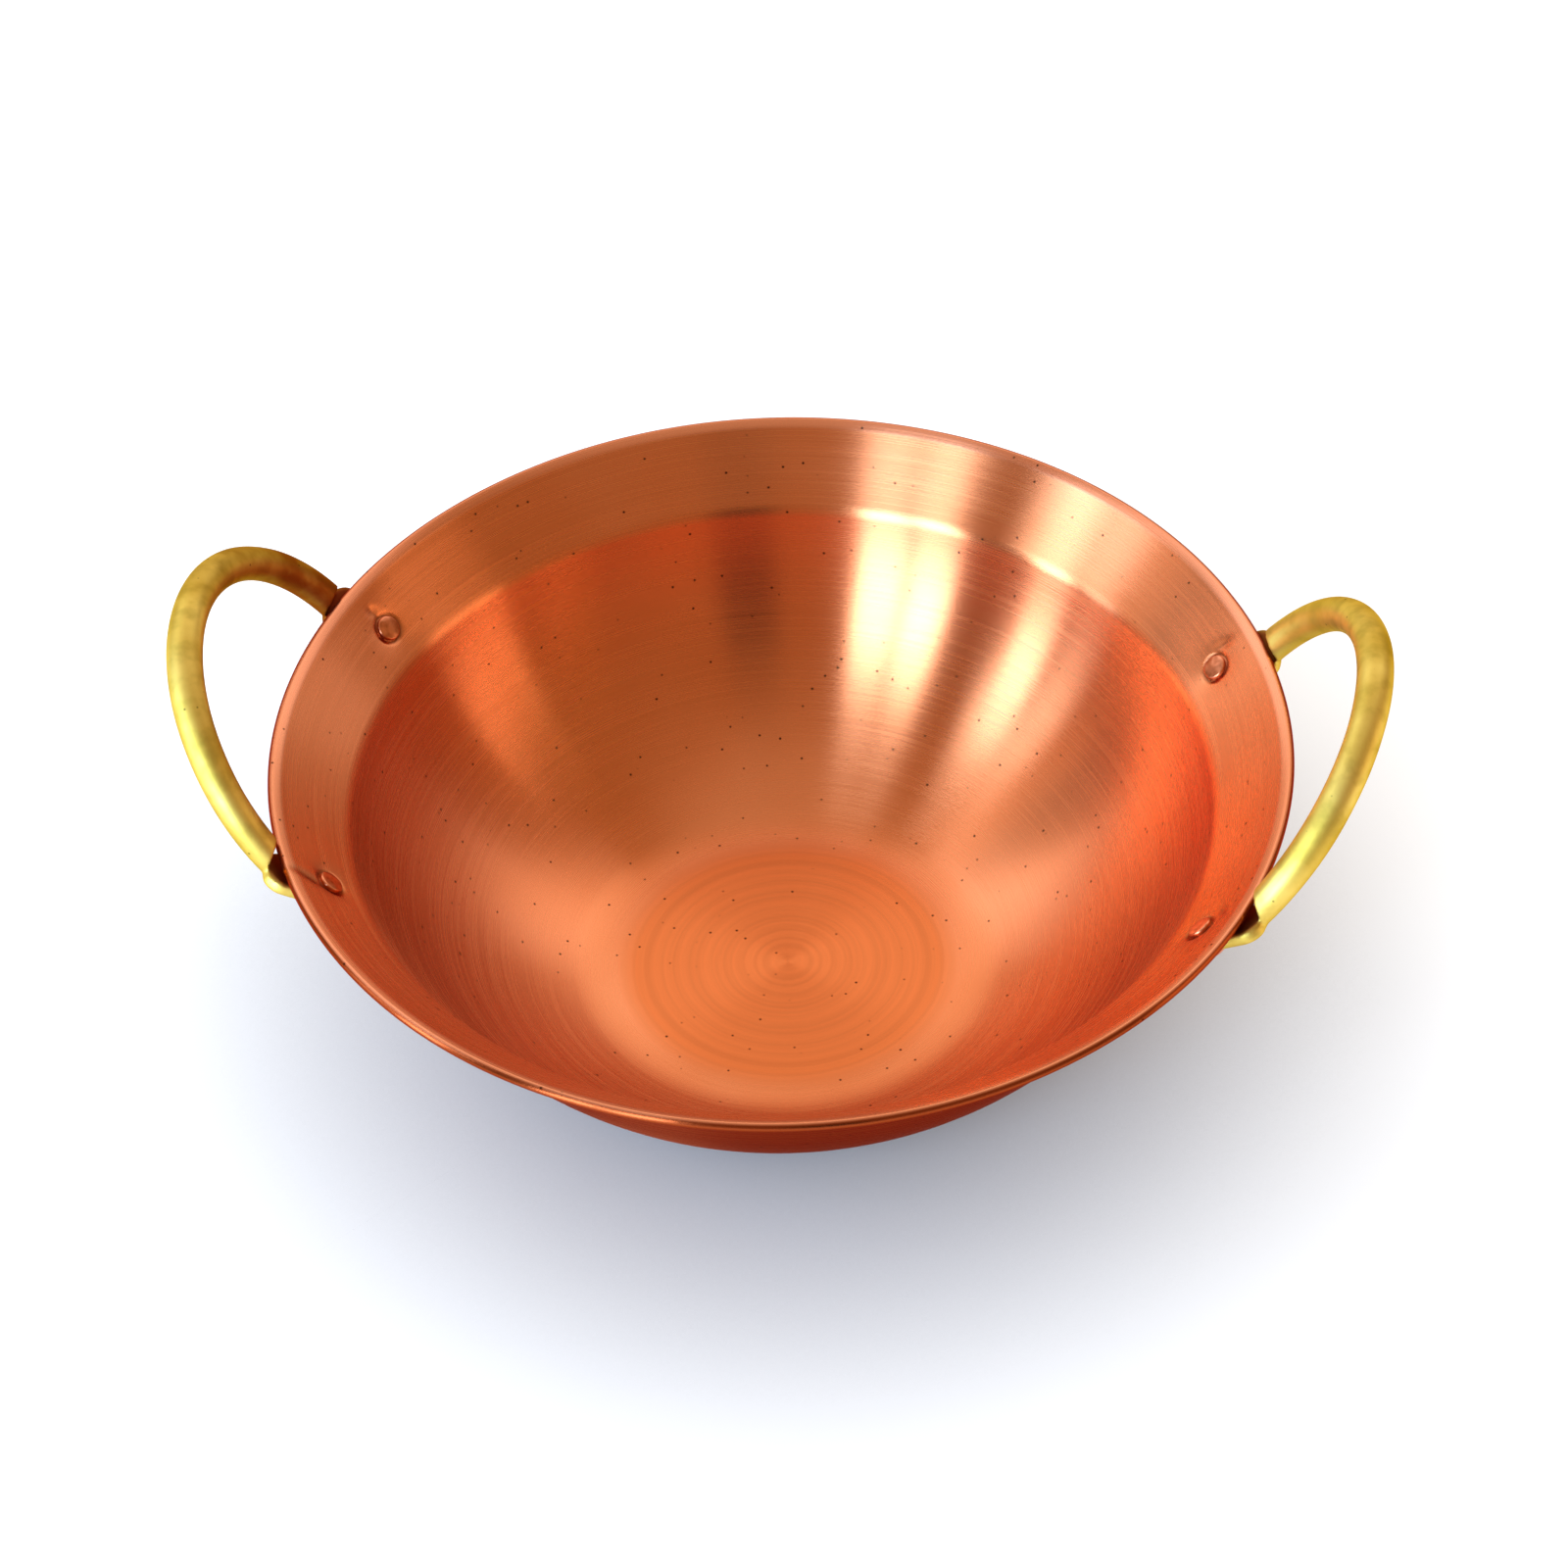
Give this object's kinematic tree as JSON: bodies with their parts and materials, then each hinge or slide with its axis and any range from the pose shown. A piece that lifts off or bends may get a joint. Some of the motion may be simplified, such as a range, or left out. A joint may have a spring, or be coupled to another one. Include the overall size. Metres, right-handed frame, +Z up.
{
  "type": "copper cooking pot",
  "caption": "Open round copper cooking pot with a flat floor, curved wall, flared band and turned lip, carried by brass loop handles riveted to opposite sides.",
  "frame": {"origin": "middle of the underside of the flat floor, on the surface that the pot stands on", "axes": "+Z up out of the mouth, +X through the middle of one handle, so that the handles lie at both ends of X"},
  "size_m": [0.3296, 0.28, 0.1285],
  "materials": {
    "spun_copper": "spun and brushed copper sheet, satin",
    "cast_brass": "cast brass, satin with light tarnish",
    "rivet_copper": "hammered copper, satin"
  },
  "bodies": {
    "root": {"pot_bowl": "spun_copper", "handle_right": "cast_brass", "handle_left": "cast_brass", "rivet_right_back": "rivet_copper", "rivet_right_front": "rivet_copper", "rivet_left_back": "rivet_copper", "rivet_left_front": "rivet_copper"}
  },
  "joints": []
}
